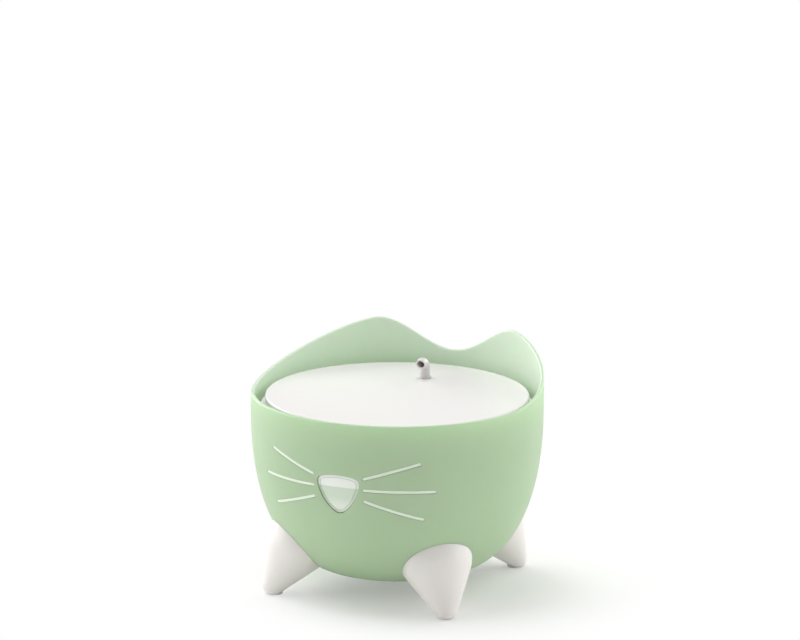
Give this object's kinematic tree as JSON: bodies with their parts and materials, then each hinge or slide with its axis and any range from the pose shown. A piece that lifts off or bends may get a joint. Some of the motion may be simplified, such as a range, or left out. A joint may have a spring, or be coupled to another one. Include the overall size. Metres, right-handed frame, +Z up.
{
  "type": "pet drinking fountain",
  "caption": "Round pet drinking bowl on short feet, its rim rising to two ears, with a lid, a filter tray, and a pump that lifts water to a spout.",
  "frame": {"origin": "on the table below the middle of the bowl", "axes": "+Z up, the face looks along -Y, +X to the right of someone who looks at the face from in front"},
  "size_m": [0.205, 0.2752, 0.1685],
  "materials": {
    "bowl": "smooth, slightly translucent",
    "window": "clear, polished",
    "insert": "clear, frosted",
    "white": "smooth satin",
    "pad": "matt",
    "fleece": "fine open mesh",
    "carbon": "granules behind mesh",
    "resin": "granules behind mesh",
    "silicone": "clear, soft",
    "steel": "satin",
    "copper": "enamelled wire",
    "magnet": "matt",
    "bush": "matt",
    "lamp": "clear, polished",
    "cable": "smooth satin"
  },
  "bodies": {
    "bowl": {"bowl": "bowl", "nose_window": "window", "whisker_insert_left": "insert", "whisker_insert_right": "insert", "foot_front_left": "white", "foot_front_right": "white", "foot_rear_left": "white", "foot_rear_right": "white", "foot_pads": "pad", "cable_run": "cable", "cable_coil": "cable", "usb_plug": "cable", "usb_shell": "steel"},
    "tray": {"filter_tray": "white"},
    "cap": {"connector_cap": "white"},
    "strap": {"cap_strap": "white"},
    "filter": {"filter_fleece": "fleece", "filter_pad_front_left": "carbon", "filter_pad_rear_left": "carbon", "filter_pad_front_right": "resin", "filter_pad_rear_right": "resin"},
    "lid": {"lid": "white"},
    "spout": {"spout": "white"},
    "hose": {"hose": "silicone"},
    "pump": {"pump_housing": "white", "pump_base_plate": "white", "inlet_cover": "white", "stator_core": "steel", "stator_winding": "copper", "rotor_shaft": "steel", "shaft_bush_rear": "bush", "shaft_bush_front": "bush", "cable_gland": "cable", "lamp_holder": "white", "lamp_lens": "lamp", "cable_at_pump": "cable"},
    "rotor": {"rotor_magnet": "magnet", "impeller": "white"}
  },
  "joints": [
    {"name": "tray_lift", "type": "slide", "parent": "bowl", "child": "tray", "axis": [0, 0, 1], "range_m": [0, 0.1422]},
    {"name": "pump_lift", "type": "slide", "parent": "bowl", "child": "pump", "axis": [0, 0, 1], "range_m": [0, 0.1131]},
    {"name": "lid_lift", "type": "slide", "parent": "tray", "child": "lid", "axis": [0, 0, 1], "range_m": [0, 0.0735]},
    {"name": "filter_lift", "type": "slide", "parent": "tray", "child": "filter", "axis": [0, 0, 1], "range_m": [0, 0.0622]},
    {"name": "cap_lift", "type": "slide", "parent": "tray", "child": "cap", "axis": [0, 0, 1], "range_m": [0, 0.0095]},
    {"name": "strap_fold", "type": "hinge", "parent": "cap", "child": "strap", "pos_m": [0, 0.049, 0.1318], "axis": [0.9976, -0.0698, 0], "range_deg": [0, 90]},
    {"name": "spout_lift", "type": "slide", "parent": "lid", "child": "spout", "axis": [0, 0, 1], "range_m": [0, 0.0264]},
    {"name": "hose_lift", "type": "slide", "parent": "pump", "child": "hose", "axis": [0, 0, 1], "range_m": [0, 0.0127]},
    {"name": "rotor_spin", "type": "hinge", "parent": "pump", "child": "rotor", "pos_m": [-0.00601, 0.04299, 0.041], "axis": [0.7071, 0.7071, 0], "continuous": true}
  ],
  "couplings": [
    {"joint": "pump_lift", "follows": "tray_lift", "ratio": 0.7947},
    {"joint": "filter_lift", "follows": "lid_lift", "ratio": 0.845},
    {"joint": "cap_lift", "follows": "lid_lift", "ratio": 0.128},
    {"joint": "strap_fold", "follows": "lid_lift", "rad_per_m": 21.37}
  ]
}
